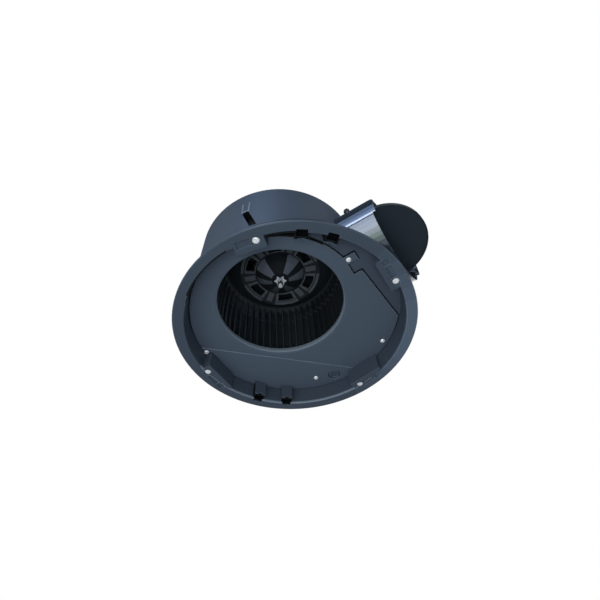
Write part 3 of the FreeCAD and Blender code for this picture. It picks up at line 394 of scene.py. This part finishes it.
metalSetup = {
    "zincPlate": {"colour": (0.92, 0.93, 0.94), "rough": 0.32, "depth": 0.1, "metallic": 0.5},
    "groundSteel": {"colour": (0.72, 0.73, 0.75), "rough": 0.18, "depth": 0.12},
    "clampSteel": {"colour": (0.62, 0.63, 0.64), "rough": 0.34, "depth": 0.2,
                   "stretch": (400.0, 30.0, 400.0)},
    "laminations": {"colour": (0.34, 0.35, 0.37), "rough": 0.36, "depth": 0.8,
                    "stretch": (5.0, 5.0, 2000.0)},
    # painted shade: a near black steel for the motor's brackets, screws and nuts, so they read as the shade
    # inside the drum
    "shadeDarkSteel": {"colour": (0.10, 0.105, 0.11), "rough": 0.5, "stretch": (120.0, 120.0, 120.0)},
    "galvanised": {"colour": (0.55, 0.57, 0.58), "rough": 0.38, "stretch": (120.0, 120.0, 120.0)},
    "enamelledWire": {"colour": (0.50, 0.20, 0.07), "depth": 0.9, "stretch": (20.0, 20.0, 900.0)},
    "brightBrass": {"colour": (0.75, 0.52, 0.22), "rough": 0.25, "depth": 0.1},
}
finishes = {name: plastic(name, **values) for name, values in plasticSetup.items()}
finishes.update({name: metal(name, **values) for name, values in metalSetup.items()})
nodeFinish = {
    "mounting_frame": "slateMoulding", "spring_brackets": "bracketMoulding", "inlet_plate": "plateMoulding",
    "plate_screws": "zincPlate", "scroll_housing": "drumMoulding", "outlet_duct": "polishedCollar",
    "duct_screws": "bracketMoulding", "shutter_rod": "zincPlate", "lower_shutter": "shutterMoulding",
    "upper_shutter": "shutterMoulding", "impeller": "wheelMoulding", "impeller_clip": "groundSteel",
    "motor_shaft": "groundSteel", "rotor": "laminations", "stator_core": "laminations",
    "windings": "enamelledWire", "motor_front_bracket": "shadeDarkSteel", "motor_rear_bracket": "shadeDarkSteel",
    "front_bearing": "groundSteel", "rear_bearing": "groundSteel", "motor_grommets": "softRubber",
    "motor_screws": "shadeDarkSteel", "motor_nuts": "shadeDarkSteel", "terminal_box": "galvanised",
    "box_screws": "zincPlate", "terminal_block": "ivoryMoulding", "terminal_screws": "brightBrass",
    "capacitor": "blackMoulding", "cable_gland": "blackMoulding", "floor_plug": "slateMoulding",
    "plate_seal": "softRubber",
}
for number in range(1, 5):
    nodeFinish[f"clamp_screw_{number}"] = "zincPlate"
    nodeFinish[f"clamp_retainer_{number}"] = "groundSteel"
    nodeFinish[f"clamp_arm_{number}"] = "clampSteel"
for name, finish in nodeFinish.items():
    data = nodes[name].data
    data.materials.clear()
    data.materials.append(finishes[finish])
print("finishes given to", len(nodeFinish), "nodes")


def addToScene(name, data):
    item = bpy.data.objects.new(name, data)
    bpy.context.scene.collection.objects.link(item)
    return item


# a square sheet, centred on the matrix's place and facing along its Z
def makeSheet(name, size, matrix, material):
    mesh = bmesh.new()
    bmesh.ops.create_grid(mesh, x_segments=1, y_segments=1, size=size / 2)
    bmesh.ops.transform(mesh, matrix=matrix, verts=mesh.verts)
    data = bpy.data.meshes.new(name)
    mesh.to_mesh(data)
    mesh.free()
    data.materials.append(material)
    return addToScene(name, data)


def makeFloor():
    material = bpy.data.materials.new("floorPaint")
    material.use_nodes = True
    paint = material.node_tree.nodes["Principled BSDF"]
    paint.inputs["Base Color"].default_value = (*floorSetup["colour"], 1)
    paint.inputs["Roughness"].default_value = floorSetup["roughness"]
    lowered = Matrix.Translation((0.0, 0.0, floorSetup["height"]))
    floor = makeSheet("floor", floorSetup["size"], lowered, material)


def makeCards():
    for name, setup in cardSetup.items():
        material = bpy.data.materials.new(name)
        material.use_nodes = True
        tree = material.node_tree
        glow = setInputs(addNode(tree, "ShaderNodeEmission"), Strength=1.0, Color=(*setup["colour"], 1))
        tree.links.new(glow.outputs[0], tree.nodes["Material Output"].inputs["Surface"])
        turn = Vector(setup["facing"]).to_track_quat("Z", "Y").to_matrix().to_4x4()
        card = makeSheet(name, setup["size"], Matrix.Translation(setup["middle"]) @ turn, material)
        card.visible_camera = False
        card.visible_diffuse = False
        card.visible_shadow = False


def makeWorld():
    world = bpy.data.worlds.new("studio")
    bpy.context.scene.world = world
    world.use_nodes = True
    tree = world.node_tree
    tree.nodes.clear()
    output = addNode(tree, "ShaderNodeOutputWorld")
    light = setInputs(addNode(tree, "ShaderNodeBackground"), Strength=worldSetup["strength"],
                      Color=(*worldSetup["light"], 1))
    seen = setInputs(addNode(tree, "ShaderNodeBackground"), Strength=1.0, Color=(*worldSetup["seen"], 1))
    path = addNode(tree, "ShaderNodeLightPath")
    straight = compute(tree, "MAXIMUM", path.outputs["Is Camera Ray"], path.outputs["Is Glossy Ray"])
    direct = compute(tree, "MAXIMUM", straight.outputs[0], path.outputs["Is Transmission Ray"])
    mix = addNode(tree, "ShaderNodeMixShader")
    tree.links.new(direct.outputs[0], mix.inputs["Fac"])
    tree.links.new(light.outputs[0], mix.inputs[1])
    tree.links.new(seen.outputs[0], mix.inputs[2])
    tree.links.new(mix.outputs[0], output.inputs["Surface"])


def makeLamps():
    for name, setup in lampSetup.items():
        lamp = bpy.data.lights.new(name, "AREA")
        lamp.shape = "DISK"
        lamp.size = setup["size"]
        lamp.energy = setup["watts"]
        lamp.color = setup["colour"]
        holder = addToScene(name, lamp)
        holder.location = setup["place"]
        aim = Vector(setup["target"]) - Vector(setup["place"])
        holder.rotation_euler = aim.to_track_quat("-Z", "Y").to_euler()
        holder.visible_camera = False
        holder.visible_glossy = setup["mirrored"]


def makeStrips():
    away = stripSetup["away"]
    along = Vector((1, 0, 0))
    for number, (first, last, colour, radiance) in enumerate(stripSetup["strips"]):
        lamp = bpy.data.lights.new(f"strip{number}", "AREA")
        lamp.shape = "RECTANGLE"
        lamp.size = stripSetup["length"]
        lamp.size_y = away * math.radians(last - first)
        lamp.energy = radiance * math.pi * lamp.size * lamp.size_y
        lamp.color = colour
        holder = addToScene(lamp.name, lamp)
        angle = math.radians((first + last) / 2)
        inward = Vector((0, -math.cos(angle), -math.sin(angle)))
        holder.matrix_world = Matrix((along, inward.cross(along) * -1, inward * -1)).transposed().to_4x4()
        holder.location = Vector((stripSetup["middle"], *ductLine)) - inward * away
        holder.visible_camera = False
        holder.visible_diffuse = False


def makeCamera():
    right = Vector(cameraSetup["right"]).normalized()
    up = Vector(cameraSetup["up"])
    up = (up - up.dot(right) * right).normalized()
    turn = Matrix((right, up, right.cross(up))).transposed().to_4x4()
    data = bpy.data.cameras.new("photoCamera")
    data.lens = cameraSetup["lens"]
    data.sensor_width = cameraSetup["sensor"]
    data.clip_start = cameraSetup["nearest"]
    camera = addToScene("photoCamera", data)
    camera.matrix_world = Matrix.Translation(cameraSetup["place"]) @ turn
    bpy.context.scene.camera = camera


makeFloor()
makeCards()
makeWorld()
makeLamps()
makeStrips()
makeCamera()
bpy.context.scene.view_settings.view_transform = "Standard"
print("room, lamps and camera ready")
